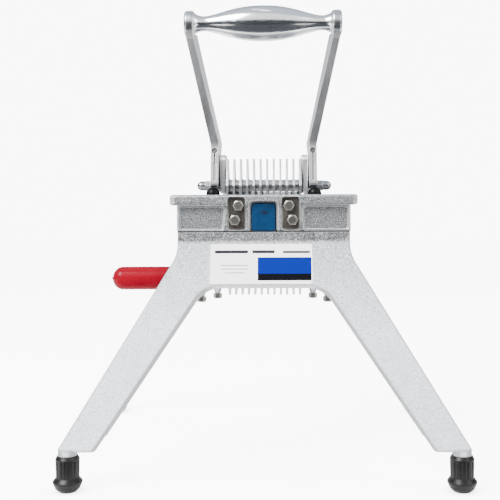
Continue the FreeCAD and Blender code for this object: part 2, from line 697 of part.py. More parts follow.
def hinge_pin():
    reach = LUG_X[1] + 7.4
    return rod("x", (-reach, HINGE_Y, HINGE_Z), HINGE_PIN_R, 2.0 * reach)


def hinge_nuts():
    nut = hexagon("x", (LUG_X[1] + 0.1, HINGE_Y, HINGE_Z), 11.5, 6.0)
    return both_sides(nut.cut(rod("x", (LUG_X[1] - 1.0, HINGE_Y, HINGE_Z), HINGE_PIN_R + 0.02, 10.0)))


def front_label():
    """Thin plate stuck on the leaning front face."""
    width, height, thick = LABEL_SIZE
    x, z = LABEL_CENTRE
    outline = rectangle(
        (x - width / 2.0, x + width / 2.0), (leaned_z(z) - height / 2.0, leaned_z(z) + height / 2.0), 1.5
    )
    return lean(slab_facing_y(outline, -BODY_HALF_Y - thick - 0.02, -BODY_HALF_Y - 0.02))


# ---- pusher body ------------------------------------------------------------

def pusher_fin(index):
    """A comb plate: thin above the frame, blunt and thicker where it goes between blades."""
    middle = fin_x(index)

    def arc_y(z):
        return HINGE_Y - math.sqrt(SWING_R ** 2 - (z - HINGE_Z) ** 2)

    def outline(x):
        mid_z = (FIN_LOW_Z + HINGE_Z) / 2.0
        low = Vector(x, arc_y(FIN_LOW_Z), FIN_LOW_Z)
        mid = Vector(x, arc_y(mid_z), mid_z)
        high = Vector(x, arc_y(HINGE_Z), HINGE_Z)
        shoulder = Vector(x, FIN_TOP_FRONT_Y - 3.0, HINGE_Z + 16.0)
        top_front = Vector(x, FIN_TOP_FRONT_Y, FIN_TOP_Z)
        top_back = Vector(x, FIN_TOP_BACK_Y, FIN_TOP_Z)
        neck = Vector(x, FIN_NECK[0], FIN_NECK[1])
        back = Vector(x, FIN_BACK_Y, FIN_STEP_Z + 14.0)
        back_low = Vector(x, FIN_BACK_Y, FIN_LOW_Z + 34.0)
        return Part.Wire([
            Part.Arc(low, mid, high).toShape(),
            Part.makeLine(high, shoulder),
            Part.makeLine(shoulder, top_front),
            Part.makeLine(top_front, top_back),
            Part.makeLine(top_back, neck),
            Part.makeLine(neck, back),
            Part.makeLine(back, back_low),
            Part.makeLine(back_low, low),
        ])

    thin = Part.Face(outline(middle - FIN_THIN / 2.0)).extrude(Vector(FIN_THIN, 0, 0))
    thick = Part.Face(outline(middle - FIN_THICK / 2.0)).extrude(Vector(FIN_THICK, 0, 0))
    above = (FIN_STEP_Z, FIN_TOP_Z + 1.0)
    thick = thick.cut(box((middle - 5.0, middle + 5.0), (-120.0, 80.0), above))
    fin = fused([thin, thick])
    return fin.cut(rod("x", (middle - 5.0, TIE_ROD_Y, HINGE_Z), TIE_ROD_R + RUN_CLEARANCE, 10.0))


def fin_spacers():
    """Tubes on the tie rod, one in each gap between fins and cheeks."""
    gap = 0.05
    spacers = []
    for index in range(FIN_COUNT - 1):
        start = fin_x(index) + FIN_THIN / 2.0 + gap
        spacers.append(rod("x", (start, TIE_ROD_Y, HINGE_Z), SPACER_R, PITCH - FIN_THIN - 2.0 * gap))
    bore = rod("x", (-60.0, TIE_ROD_Y, HINGE_Z), TIE_ROD_R + RUN_CLEARANCE, 120.0)
    return Part.Compound([spacer.cut(bore) for spacer in spacers])


def tie_rod():
    reach = ACORN_END_X - 4.0
    return rod("x", (-reach, TIE_ROD_Y, HINGE_Z), TIE_ROD_R, 2.0 * reach)


def cheek_right():
    """Side lever: an upright post in front, then a low beam back to the hinge eye."""
    eye = HINGE_EYE_R
    outline = [
        (CHEEK_FRONT_Y, HINGE_Z - eye, 4.0),
        (HINGE_Y + eye, HINGE_Z - eye, eye - 0.2),
        (HINGE_Y + eye, HINGE_Z + eye, eye - 1.5),
        (CHEEK_POST_Y + 18.0, HINGE_Z + eye + 1.0, 14.0),
        (CHEEK_POST_Y, CHEEK_TOP_Z, 6.0),
        (CHEEK_FRONT_Y, CHEEK_TOP_Z, 6.0),
    ]
    plate = slab_facing_x(outline, CHEEK_X[0], CHEEK_X[1])
    plate = round_edges(plate, CHEEK_ROUND, lambda edge: edge.BoundBox.XMax < CHEEK_X[0] + 0.01)
    plate = plate.cut(rod("x", (30.0, HINGE_Y, HINGE_Z), HINGE_BUSH_R + 0.01, 20.0))
    return plate.cut(rod("x", (30.0, TIE_ROD_Y, HINGE_Z), TIE_ROD_R + RUN_CLEARANCE, 20.0))


def hinge_bushes():
    bush = rod("x", (CHEEK_X[0], HINGE_Y, HINGE_Z), HINGE_BUSH_R, CHEEK_X[1] - CHEEK_X[0] + 0.3)
    bore = rod("x", (30.0, HINGE_Y, HINGE_Z), HINGE_PIN_R + RUN_CLEARANCE, 20.0)
    return both_sides(bush.cut(bore))


def slanted(shape):
    """Tip a part of the arm's front face back to the face's slant."""
    turned = shape.copy()
    angle = math.degrees(math.atan2(ARM_SLANT, ARM_BEND_Z - ARM_FOOT_Z))
    turned.rotate(Vector(0, ARM_FRONT_Y, ARM_FOOT_Z), Vector(1, 0, 0), -angle)
    return turned


def arm_band(y, flare):
    """Front outline of the right arm at one depth; flare widens it on the inner side."""
    corners = [
        Vector(ARM_X[1], y, ARM_FOOT_Z), Vector(ARM_X[1], y, ARM_BEND_Z), Vector(ARM_TOP_X[1], y, ARM_TOP_Z),
        Vector(ARM_TOP_X[0] - flare, y, ARM_TOP_Z), Vector(ARM_X[0] - flare / 3.0, y, ARM_BEND_Z + 3.0),
        Vector(ARM_X[0], y, CHEEK_TOP_Z + 1.0), Vector(ARM_X[0], y, ARM_FOOT_Z),
    ]
    return Part.makePolygon(corners + [corners[0]])


def handle_arm_right():
    """Cast arm: upright foot beside the cheek, then leaning out to the grip's end ring."""
    back_y = ARM_FRONT_Y + ARM_SLANT + ARM_BEVEL_DEPTH
    bevel_y = ARM_FRONT_Y + ARM_SLANT
    front = Part.makeLoft([arm_band(ARM_FRONT_Y - 4.0, 0.0), arm_band(bevel_y, 0.0)], True, True)
    bevel = Part.makeLoft([arm_band(bevel_y, 0.0), arm_band(back_y, ARM_INNER_FLARE)], True, True)
    back = Part.makeLoft([arm_band(back_y, ARM_INNER_FLARE), arm_band(ARM_BACK_Y, ARM_INNER_FLARE)], True, True)
    band = fused([front, bevel, back])
    side = slab_facing_x(
        [
            (ARM_FRONT_Y, ARM_FOOT_Z, 3.0),
            (ARM_BACK_Y, ARM_FOOT_Z, 3.0),
            (ARM_BACK_Y, ARM_BEND_Z - 6.0, 30.0),
            (GRIP_Y + 10.5, ARM_TOP_Z - 20.0, 40.0),
            (GRIP_Y + 9.0, ARM_TOP_Z + 1.0, 0),
            (GRIP_Y - 9.0, ARM_TOP_Z + 1.0, 0),
            (ARM_FRONT_Y + ARM_SLANT, ARM_BEND_Z, 30.0),
        ],
        ARM_X[0] - ARM_INNER_FLARE - 5.0,
        RING_X[1],
    )
    arm = band.common(side)
    ring = rod("x", (RING_X[0], GRIP_Y, GRIP_Z), RING_R, RING_X[1] - RING_X[0])
    ring = ring.makeFillet(3.0, [edge for edge in ring.Edges if edge.Length > RING_R * 5.0])
    neck = slab_facing_y(
        [
            (ARM_TOP_X[0] - 1.0, ARM_TOP_Z - 6.0, 0),
            (ARM_TOP_X[1] - 1.2, ARM_TOP_Z - 6.0, 0),
            (RING_X[1] - 1.6, GRIP_Z - 3.0, 0),
            (RING_X[0] + 1.6, GRIP_Z - 3.0, 0),
        ],
        GRIP_Y - 9.0,
        GRIP_Y + 9.0,
    )
    arm = fused([arm, neck, ring])
    middle_x = sum(ARM_X) / 2.0
    screw_z = ARM_BEND_Z - 5.3
    groove = slab_facing_y(
        rectangle((middle_x - 1.7, middle_x + 1.7), (ARM_FOOT_Z + 6.0, ARM_BEND_Z - 17.0), 1.6),
        ARM_FRONT_Y - 2.0,
        ARM_FRONT_Y + 1.4,
    )
    slot = box(
        (middle_x - 0.7, middle_x + 0.7),
        (ARM_FRONT_Y - 2.0, ARM_FRONT_Y + 6.0),
        (screw_z - 12.7, screw_z - 2.7),
    )
    recess = rod("y", (middle_x, ARM_FRONT_Y - 2.0, screw_z), 2.9, 5.0)
    screw_hole = rod("y", (middle_x, ARM_FRONT_Y - 2.0, screw_z), 1.65, 16.0)
    rod_hole = rod("x", (ARM_X[0] - 8.0, TIE_ROD_Y, HINGE_Z), TIE_ROD_R + RUN_CLEARANCE, 20.0)
    grip_hole = rod("x", (RING_X[0] - 1.0, GRIP_Y, GRIP_Z), 3.1, 20.0)
    sink = rod("x", (RING_X[1] - 3.2, GRIP_Y, GRIP_Z), 6.2, 5.0)
    slanted_cuts = [slanted(cut) for cut in (groove, slot, recess, screw_hole)]
    for cut in slanted_cuts + [rod_hole, grip_hole, sink]:
        arm = arm.cut(cut)
    return arm


def arm_screws():
    """Small screws sunk in the front edges of the two arms."""
    middle_x = sum(ARM_X) / 2.0
    head = rod("y", (middle_x, ARM_FRONT_Y + 1.2, ARM_BEND_Z - 5.3), 2.7, 1.7)
    shank = rod("y", (middle_x, ARM_FRONT_Y + 2.5, ARM_BEND_Z - 5.3), 1.6, 10.0)
    return both_sides(slanted(head.fuse(shank)))


def grip():
    """Turned barrel grip, widest in the middle, flaring again at its ends."""
    end_x = RING_X[0] - 0.05
    end_r = 10.6
    half = [
        (GRIP_NECK_X, GRIP_NECK_R), (52.0, 8.4), (39.5, 11.8), (20.8, 16.2), (0.0, GRIP_R),
    ]
    left = [(-x, r) for x, r in half]
    right = [(x, r) for x, r in reversed(half[:-1])]
    profile = [(-end_x, end_r)] + left + right + [(end_x, end_r)]
    points = [Vector(x, r, 0) for x, r in profile]
    curve = Part.BSplineCurve()
    curve.interpolate(points)
    sides = [
        Part.makeLine(points[-1], Vector(end_x, 0, 0)),
        Part.makeLine(Vector(end_x, 0, 0), Vector(-end_x, 0, 0)),
        Part.makeLine(Vector(-end_x, 0, 0), points[0]),
    ]
    solid = Part.Face(Part.Wire([curve.toShape()] + sides)).revolve(Vector(0, 0, 0), Vector(1, 0, 0), 360.0)
    solid.translate(Vector(0, GRIP_Y, GRIP_Z))
    for start in (-end_x - 1.0, end_x - 18.0):
        solid = solid.cut(rod("x", (start, GRIP_Y, GRIP_Z), 3.05, 19.0))
    return solid


def grip_screws():
    """Button screws that hold the grip between the arm rings."""
    seat_x = RING_X[1] - 3.15
    shank = rod("x", (seat_x - 20.0, GRIP_Y, GRIP_Z), 3.0, 20.5)
    head = rod("x", (seat_x, GRIP_Y, GRIP_Z), 5.6, 2.6)
    head = head.makeFillet(1.0, [edge for edge in head.Edges if edge.BoundBox.XMin > seat_x + 2.5])
    socket = hexagon("x", (seat_x + 1.2, GRIP_Y, GRIP_Z), 4.0, 5.0)
    return both_sides(head.fuse(shank).cut(socket))


def rod_washers():
    washer = rod("x", (ARM_X[1] + 0.05, TIE_ROD_Y, HINGE_Z), WASHER_R, 1.3)
    return both_sides(washer.cut(rod("x", (40.0, TIE_ROD_Y, HINGE_Z), TIE_ROD_R + RUN_CLEARANCE, 20.0)))


def acorn_nuts():
    """Closed dome nuts on the ends of the tie rod."""
    start_x = ARM_X[1] + 1.4
    hex_length = 6.2
    dome_r = ACORN_R - 0.2
    body = hex_head("x", (start_x, TIE_ROD_Y, HINGE_Z), ACORN_AF, hex_length, True)
    shoulder_x = ACORN_END_X - dome_r
    barrel = rod("x", (start_x + 1.0, TIE_ROD_Y, HINGE_Z), dome_r, shoulder_x - start_x - 1.0)
    dome = Part.makeSphere(dome_r, Vector(shoulder_x, TIE_ROD_Y, HINGE_Z))
    nut = fused([body, barrel, dome])
    depth = ACORN_END_X - 3.9 - start_x + 1.0
    bore = rod("x", (start_x - 1.0, TIE_ROD_Y, HINGE_Z), TIE_ROD_R + RUN_CLEARANCE, depth)
    return both_sides(nut.cut(bore))


def build():
    """Every sub-part by node name."""
    front_bolts = [OUTER_LEG_BOLT, INNER_LEG_BOLT]
    rear_bolts = [OUTER_LEG_BOLT]
    front_leg = leg_casting(
        FRONT_FOOT_X, FRONT_OUTER_OFFSET, FRONT_ARCH_HALF_X, front_bolts, FRONT_TAB_BACK_Y, True
    )
    rear_leg = leg_casting(
        REAR_FOOT_X, REAR_OUTER_OFFSET, REAR_ARCH_HALF_X, rear_bolts, REAR_TAB_BACK_Y, False
    )
    rear_leg = mirror_y(rear_leg)
    plate = front_clamp_plate()
    cheek = cheek_right()
    arm = handle_arm_right()
    foot = rubber_foot()
    dome = bumper()
    nodes = {
        "main_frame": main_frame(),
        "front_leg_casting": front_leg,
        "rear_leg_casting": rear_leg,
        "foot_front_left": placed(foot, -FRONT_FOOT_X, foot_y()),
        "foot_front_right": placed(foot, FRONT_FOOT_X, foot_y()),
        "foot_rear_left": placed(foot, -REAR_FOOT_X, -foot_y()),
        "foot_rear_right": placed(foot, REAR_FOOT_X, -foot_y()),
        "front_blade_rail": front_blade_rail(),
        "rear_blade_rail": rear_blade_rail(),
        "blade_pins": blade_pins(),
        "front_clamp_plate_left": mirror_x(plate),
        "front_clamp_plate_right": plate,
        "rear_clamp_plates": both_sides(mirror_y(plate)),
        "clamp_bolts": clamp_bolts(),
        "size_block": size_block(),
        "bumper_left": placed(dome, -BUMPER_X, BUMPER_Y),
        "bumper_right": placed(dome, BUMPER_X, BUMPER_Y),
        "front_leg_bolts": leg_bolts(front_bolts, -1),
        "rear_leg_bolts": leg_bolts(rear_bolts, 1),
        "side_handle_rod": side_handle_rod(),
        "side_handle_sleeve": side_handle_sleeve(),
        "side_handle_nut": side_handle_nut(),
        "hinge_pin": hinge_pin(),
        "hinge_nuts": hinge_nuts(),
        "front_label": front_label(),
        "cheek_left": mirror_x(cheek),
        "cheek_right": cheek,
        "hinge_bushes": hinge_bushes(),
        "handle_arm_left": mirror_x(arm),
        "handle_arm_right": arm,
        "arm_screws": arm_screws(),
        "grip": grip(),
        "grip_screws": grip_screws(),
        "tie_rod": tie_rod(),
        "fin_spacers": fin_spacers(),
        "rod_washers": rod_washers(),
        "acorn_nuts": acorn_nuts(),
    }
    for index in range(BLADE_COUNT):
        nodes["blade_%02d" % (index + 1)] = blade(index)
    for index in range(FIN_COUNT):
        nodes["pusher_fin_%02d" % (index + 1)] = pusher_fin(index)
    return nodes


def main():
    os.makedirs("parts", exist_ok=True)
    for name, shape in build().items():
        if not shape.isValid():
            print("not valid:", name)
        shape.exportStep("parts/%s.step" % name)
        extent = shape.BoundBox
        print("%-26s solids %2d  volume %10.1f  x %7.1f %7.1f  y %7.1f %7.1f  z %6.1f %6.1f" % (
            name, len(shape.Solids), shape.Volume, extent.XMin, extent.XMax,
            extent.YMin, extent.YMax, extent.ZMin, extent.ZMax,
        ))


main()
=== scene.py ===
import math

import bpy
from mathutils import Matrix, Vector


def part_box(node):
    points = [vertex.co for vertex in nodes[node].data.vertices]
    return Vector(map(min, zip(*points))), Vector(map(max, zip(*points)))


# The slicer's finishes, camera, light and stage, around its parts as they come from the frame.
# Lengths are in metres. The part's x is across, y runs from front to back and z is up.

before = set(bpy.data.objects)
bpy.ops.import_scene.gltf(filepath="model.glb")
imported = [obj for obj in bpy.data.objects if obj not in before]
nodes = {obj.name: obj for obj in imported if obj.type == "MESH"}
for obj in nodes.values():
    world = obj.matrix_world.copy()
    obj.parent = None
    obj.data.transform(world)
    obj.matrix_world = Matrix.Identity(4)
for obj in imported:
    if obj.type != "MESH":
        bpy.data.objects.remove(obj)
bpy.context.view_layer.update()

# ---- camera -----------------------------------------------------------------

CAMERA_DISTANCE = 0.86      # in front of the frame's front face
CAMERA_AZIMUTH = math.radians(0.9)
CAMERA_ROLL = math.radians(-0.3)
CAMERA_SHIFT = (-0.0268, -0.1115)
PICTURE_WIDTH = 0.480       # width seen at the frame's front face
SENSOR = 36.0               # millimetres
BUMPER_HEIGHT = 0.0072      # the bumpers' height over the frame's top


def add_camera():
    """Level camera at the height of the frame's top, framed with a small shift."""
    front_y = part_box("main_frame")[0][1]
    horizon_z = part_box("bumper_left")[1][2] - BUMPER_HEIGHT
    data = bpy.data.cameras.new("camera")
    data.sensor_width = SENSOR
    data.lens = SENSOR * CAMERA_DISTANCE / PICTURE_WIDTH
    data.shift_x, data.shift_y = CAMERA_SHIFT
    camera = bpy.data.objects.new("camera", data)
    bpy.context.scene.collection.objects.link(camera)
    away = Vector((math.sin(CAMERA_AZIMUTH), -math.cos(CAMERA_AZIMUTH), 0.0))
    turn = Matrix.Rotation(CAMERA_AZIMUTH, 4, "Z") @ Matrix.Rotation(math.pi / 2.0, 4, "X")
    turn = turn @ Matrix.Rotation(CAMERA_ROLL, 4, "Z")
    camera.rotation_euler = turn.to_euler()
    camera.location = Vector((0.0, front_y, horizon_z)) + away * CAMERA_DISTANCE
    bpy.context.scene.camera = camera


# ---- node helpers -----------------------------------------------------------

MIX_INPUTS = (0, 6, 7)      # a colour mix's amount, first and second colour
MIX_OUTPUT = 2
SAME_WAY = 0.998            # two normals whose dot product is over this count as the same
EDGE_GAIN = 9.0             # how soon a slight rounding counts as an edge


def feed(tree, socket, source):
    """Link a socket to another one, or give it a fixed value."""
    if isinstance(source, bpy.types.NodeSocket):
        tree.links.new(source, socket)
    else:
        socket.default_value = source


def add(tree, kind, values=None, links=None, **settings):
    """A node with its settings, the values of its sockets and the links into them."""
    node = tree.nodes.new(kind)
    for key, value in settings.items():
        setattr(node, key, value)
    for key, value in (values or {}).items():
        node.inputs[key].default_value = value
    for key, source in (links or {}).items():
        tree.links.new(source, node.inputs[key])
    return node


def new_material(name, **values):
    """A material and its shader, with the numbers that are the same all over it."""
    material = bpy.data.materials.new(name)
    material.use_nodes = True
    shader = material.node_tree.nodes["Principled BSDF"]
    for key, value in values.items():
        shader.inputs[key.replace("_", " ")].default_value = value
    return material, material.node_tree, shader


def surface(tree, shader, colour, gloss):
    """Give the shader its colour and its roughness."""
    tree.links.new(colour, shader.inputs["Base Color"])
    tree.links.new(gloss, shader.inputs["Roughness"])


def object_coordinates(tree, stretch=(1.0, 1.0, 1.0)):
    """The part's own coordinates, multiplied by stretch."""
    place = add(tree, "ShaderNodeTexCoord").outputs["Object"]
    if stretch == (1.0, 1.0, 1.0):
        return place
    return add(tree, "ShaderNodeMapping", {"Scale": stretch}, {"Vector": place}).outputs["Vector"]


def split(tree, vector):
    """The X, Y and Z outputs of a vector."""
    return add(tree, "ShaderNodeSeparateXYZ", links={"Vector": vector}).outputs


def noise(tree, place, scale, detail=2.0, rough=0.5):
    """Noise by object coordinates, scale in features per metre."""
    values = {"Scale": scale, "Detail": detail, "Roughness": rough}
    return add(tree, "ShaderNodeTexNoise", values, {"Vector": place}).outputs["Fac"]


def remap(tree, value, low, high, to_low=0.0, to_high=1.0):
    """A value's range low to high, stretched to another range and held inside it."""
    values = {"From Min": low, "From Max": high, "To Min": to_low, "To Max": to_high}
    return add(tree, "ShaderNodeMapRange", values, {"Value": value}).outputs["Result"]


def roughness(tree, texture, rough):
    """Roughness that follows a noise between the two ends of rough."""
    return remap(tree, texture, 0.3, 0.7, rough[0], rough[1])


def mix(tree, amount, first, second):
    """Colour mix; each of the three may be a socket or a fixed value."""
    node = add(tree, "ShaderNodeMix", data_type="RGBA")
    for index, source in zip(MIX_INPUTS, (amount, first, second)):
        feed(tree, node.inputs[index], source)
    return node.outputs[MIX_OUTPUT]


def math_node(tree, operation, first, second):
    """Sum on two numbers; each may be a socket or a fixed value."""
    node = add(tree, "ShaderNodeMath", operation=operation)
    for index, source in enumerate((first, second)):
        feed(tree, node.inputs[index], source)
    return node.outputs[0]


def grey(level, blue=0.0):
    """Grey colour, bluer as blue grows."""
    return (level, level * (1.0 + blue * 0.4), level * (1.0 + blue), 1.0)


def grey_stops(*rows):
    """Colour ramp stops from rows of position, level and blueness."""
    return [(position, grey(level, blue)) for position, level, blue in rows]


def ramp(tree, value, stops):
    """Colour ramp from (position, colour) stops."""
    node = add(tree, "ShaderNodeValToRGB", links={"Fac": value})
    elements = node.color_ramp.elements
    while len(elements) < len(stops):
        elements.new(0.5)
    for element, (position, colour) in zip(elements, stops):
        element.position = position
        element.color = colour
    return node.outputs["Color"]


def rounded_normal(tree, radius, samples):
    """The surface's normal with its edges rounded off to a radius."""
    return add(tree, "ShaderNodeBevel", {"Radius": radius}, samples=samples).outputs["Normal"]


def edge_mask(tree, radius, gain=EDGE_GAIN):
    """One along outer edges, nought on open faces."""
    normals = {0: rounded_normal(tree, radius, 6), 1: add(tree, "ShaderNodeNewGeometry").outputs["Normal"]}
    dot = add(tree, "ShaderNodeVectorMath", links=normals, operation="DOT_PRODUCT").outputs["Value"]
    return remap(tree, dot, 1.0 - 1.0 / gain, SAME_WAY, 1.0, 0.0)


def crevice_mask(tree, reach, low=0.35, high=0.9):
    """One deep in corners, nought in the open."""
    shade = add(tree, "ShaderNodeAmbientOcclusion", {"Distance": reach}, samples=6).outputs["AO"]
    return remap(tree, shade, low, high, 1.0, 0.0)


def facing(tree, axis, low=0.45, high=0.85):
    """One on faces square to an axis of the part, nought on faces along it."""
    parts = split(tree, add(tree, "ShaderNodeTexCoord").outputs["Normal"])
    return remap(tree, math_node(tree, "ABSOLUTE", parts[axis], 0.0), low, high)


def between(tree, value, low, high):
    """One where a value is over low and under high, else nought."""
    above = math_node(tree, "GREATER_THAN", value, low)
    return math_node(tree, "MULTIPLY", above, math_node(tree, "LESS_THAN", value, high))


def bump(tree, shader, height, strength, distance, round_radius=0.0005):
    """Fine relief, over edges that are rounded off in the shading unless round_radius is nought."""
    links = {"Height": height}
    if round_radius > 0:
        links["Normal"] = rounded_normal(tree, round_radius, 4)
    node = add(tree, "ShaderNodeBump", {"Strength": strength, "Distance": distance}, links)
    tree.links.new(node.outputs["Normal"], shader.inputs["Normal"])


# ---- materials --------------------------------------------------------------

SEAM_DARK = grey(0.015)


def painted_edge_lines(tree, colour, radius, bright, shadow):
    """Painted edge shading: a thin line of the bright colour along each outer edge, a highlight on most
    parts and a dark outline on the legs, with a fainter painted shadow line just inside it.
    """
    mask = edge_mask(tree, radius)
    colour = mix(tree, remap(tree, mask, 0.02, 0.22), colour, shadow)
    return mix(tree, remap(tree, mask, 0.22, 0.60), colour, bright)


def cast_metal(
    name, stops, grain_scale, metallic, rough, edges, edge_radius, dirt_and_shade, relief, zones, seam, side_shading
):
    """Bare tumbled casting: a fine speckle, slow mottling, painted highlight and shadow lines along the
    edges, painted shade in the corners.

    zones are (axis, start, end, stops): past end, along that axis, the speckle takes those stops.
    seam is the height range of the dark line where the frame meets the legs.
    sides is (colour, strength, reach): faces that look sideways take that colour, in front of y = reach;
    this is painted shading, lighter on the frame and darker on the legs.
    """
    material, tree, shader = new_material(name, Metallic=metallic)
    place = object_coordinates(tree)
    grain = noise(tree, place, grain_scale, 3.0, 0.75)
    mottle = noise(tree, place, 55.0, 4.0, 0.6)
    colour = ramp(tree, grain, stops)
    axes = split(tree, place)
    for axis, start, end, zone_stops in zones:
        colour = mix(tree, remap(tree, axes[axis], start, end), colour, ramp(tree, grain, zone_stops))
    colour = mix(tree, remap(tree, mottle, 0.35, 0.7, 0.0, 0.2), colour, dirt_and_shade)
    # Painted shading on the faces that look sideways near the front.
    side_shade_colour, side_strength, side_reach = side_shading
    near_front = remap(tree, axes["Y"], side_reach, side_reach - 0.001)
    sideways = math_node(tree, "MULTIPLY", facing(tree, "X", 0.15, 0.5), near_front)
    colour = mix(tree, math_node(tree, "MULTIPLY", sideways, side_strength), colour, side_shade_colour)
    # Painted shade: ambient occlusion darkens corners and recesses with the dirt colour.
    colour = mix(tree, crevice_mask(tree, 0.005, 0.05, 0.6), colour, dirt_and_shade)
    # Painted highlight and shadow lines along the outer edges; on the legs both are dark, a painted outline.
    colour = painted_edge_lines(tree, colour, edge_radius, edges, dirt_and_shade)
    colour = mix(tree, between(tree, axes["Z"], seam[0], seam[1]), colour, SEAM_DARK)
    surface(tree, shader, colour, roughness(tree, grain, rough))
    bump(tree, shader, grain, relief, 0.0006, 0.0010)
    return material


def machined_metal(
    name, light, dark, rough, stretch, edges, mark_scale,
    dirt_and_shade=None, polished_above=None, side_shading=None, outline=None,
):
    """Bright metal with fine tool or wear marks along one direction.

    polished_above is a height over which the metal is a little glossier.
    sides is (axis, colour, strength): faces square to that axis take that colour, a painted shade.
    outline is the colour of a painted shadow line just inside each bright edge, itself a painted highlight.
    """
    material, tree, shader = new_material(name, Metallic=1.0)
    plain_place = object_coordinates(tree)
    marks = noise(tree, object_coordinates(tree, stretch), mark_scale, 4.0, 0.65)
    cloud = noise(tree, plain_place, 90.0, 3.0, 0.6)
    colour = mix(tree, remap(tree, marks, 0.38, 0.66), light, dark)
    colour = mix(tree, remap(tree, cloud, 0.5, 0.8, 0.0, 0.5), colour, dark)
    # Painted shade on the faces square to the given axis.
    if side_shading is not None:
        axis, side_shade_colour, strength = side_shading
        colour = mix(tree, math_node(tree, "MULTIPLY", facing(tree, axis), strength), colour, side_shade_colour)
    # Painted shade: ambient occlusion darkens corners and recesses with the dirt colour.
    if dirt_and_shade is not None:
        colour = mix(tree, crevice_mask(tree, 0.004), colour, dirt_and_shade)
    # Painted highlight along each outer edge, with a painted shadow line just inside it where outline is
    # given.
    if outline is not None:
        colour = painted_edge_lines(tree, colour, 0.0018, edges, outline)
    else:
        colour = mix(tree, edge_mask(tree, 0.0007), colour, edges)
    gloss = roughness(tree, marks, rough)
    if polished_above is not None:
        keep = remap(tree, split(tree, plain_place)["Z"], polished_above, polished_above + 0.006, 1.0, 0.8)
        gloss = math_node(tree, "MULTIPLY", gloss, keep)
    surface(tree, shader, colour, gloss)
    bump(tree, shader, marks, 0.12, 0.0003)
    return material


def polished_grip():
    """Polished aluminium with a few long scratches, slightly hazy."""
    material, tree, shader = new_material("polished_grip", Metallic=1.0)
    place = object_coordinates(tree)
    haze = noise(tree, place, 130.0, 5.0, 0.7)
    hair = noise(tree, object_coordinates(tree, (0.35, 1.0, 3.0)), 420.0, 2.0, 0.6)
    lie = {"Rotation": (0.2, 0.9, 0.3), "Scale": (1.0, 9.0, 9.0)}
    turned = add(tree, "ShaderNodeMapping", lie, {"Vector": place}).outputs["Vector"]
    scratch = remap(tree, noise(tree, turned, 30.0, 1.0, 0.4), 0.715, 0.735)
    colour = mix(tree, remap(tree, haze, 0.4, 0.75), (0.93, 0.94, 0.95, 1), (0.80, 0.82, 0.85, 1))
    colour = mix(tree, scratch, colour, grey(0.98))
    gloss = remap(tree, haze, 0.3, 0.75, 0.12, 0.24)
    gloss = math_node(tree, "MAXIMUM", gloss, math_node(tree, "MULTIPLY", scratch, 0.6))
    surface(tree, shader, colour, gloss)
    relief = math_node(tree, "ADD", hair, math_node(tree, "MULTIPLY", scratch, -1.5))
    bump(tree, shader, relief, 0.05, 0.0003)
    return material


def rubber(name, base, worn, rough, fine_scale, shine):
    """Moulded rubber, a little paler where it is rubbed."""
    material, tree, shader = new_material(name, Specular_IOR_Level=shine)
    place = object_coordinates(tree)
    fine = noise(tree, place, fine_scale, 3.0, 0.6)
    cloud = noise(tree, place, 110.0, 3.0, 0.6)
    colour = mix(tree, remap(tree, cloud, 0.35, 0.75), base, worn)
    colour = mix(tree, edge_mask(tree, 0.0008), colour, worn)
    surface(tree, shader, colour, roughness(tree, fine, rough))
    bump(tree, shader, fine, 0.15, 0.0004)
    return material


def dipped_vinyl():
    """Soft red plastisol sleeve, glossy with a faint orange peel."""
    material, tree, shader = new_material(
        "red_vinyl", Specular_IOR_Level=0.03, Coat_Weight=0.16, Coat_Roughness=0.10
    )
    place = object_coordinates(tree)
    peel = noise(tree, place, 160.0, 2.0, 0.5)
    cloud = noise(tree, place, 60.0, 3.0, 0.6)
    colour = mix(tree, remap(tree, cloud, 0.35, 0.7), (0.190, 0.0, 0.0080, 1), (0.160, 0.0, 0.0066, 1))
    surface(tree, shader, colour, roughness(tree, peel, (0.24, 0.34)))
    bump(tree, shader, peel, 0.04, 0.0008, 0.0)
    return material


PATCH_Z = 0.2549            # height of the dark patch's middle
PATCH_SQUASH = 2.0          # the patch is this many times as wide as it is high
PATCH_RADII = (0.0022, 0.0050)


def block_plastic():
    """Moulded blue block, satin, with a darker rubbed patch in the middle and a painted highlight along its
    edges.
    """
    material, tree, shader = new_material("size_block", Specular_IOR_Level=0.15)
    place = object_coordinates(tree)
    fine = noise(tree, place, 900.0, 3.0, 0.6)
    cloud = noise(tree, place, 130.0, 3.0, 0.6)
    colour = mix(tree, remap(tree, cloud, 0.35, 0.7), (0.0003, 0.022, 0.068, 1), (0.0002, 0.015, 0.048, 1))
    squashed = object_coordinates(tree, (1.0, 0.0, PATCH_SQUASH))
    middle = {1: (0.0, 0.0, PATCH_Z * PATCH_SQUASH)}
    away = add(tree, "ShaderNodeVectorMath", middle, {0: squashed}, operation="DISTANCE").outputs["Value"]
    near = remap(tree, away, PATCH_RADII[0], PATCH_RADII[1], 1.0, 0.0)
    patch = math_node(tree, "MULTIPLY", near, remap(tree, cloud, 0.3, 0.6))
    colour = mix(tree, patch, colour, (0.006, 0.007, 0.016, 1))
    # Painted highlight along the block's edges.
    colour = mix(tree, edge_mask(tree, 0.0009), colour, (0.002, 0.050, 0.130, 1))
    surface(tree, shader, colour, roughness(tree, fine, (0.30, 0.46)))
    bump(tree, shader, fine, 0.1, 0.0003)
    return material


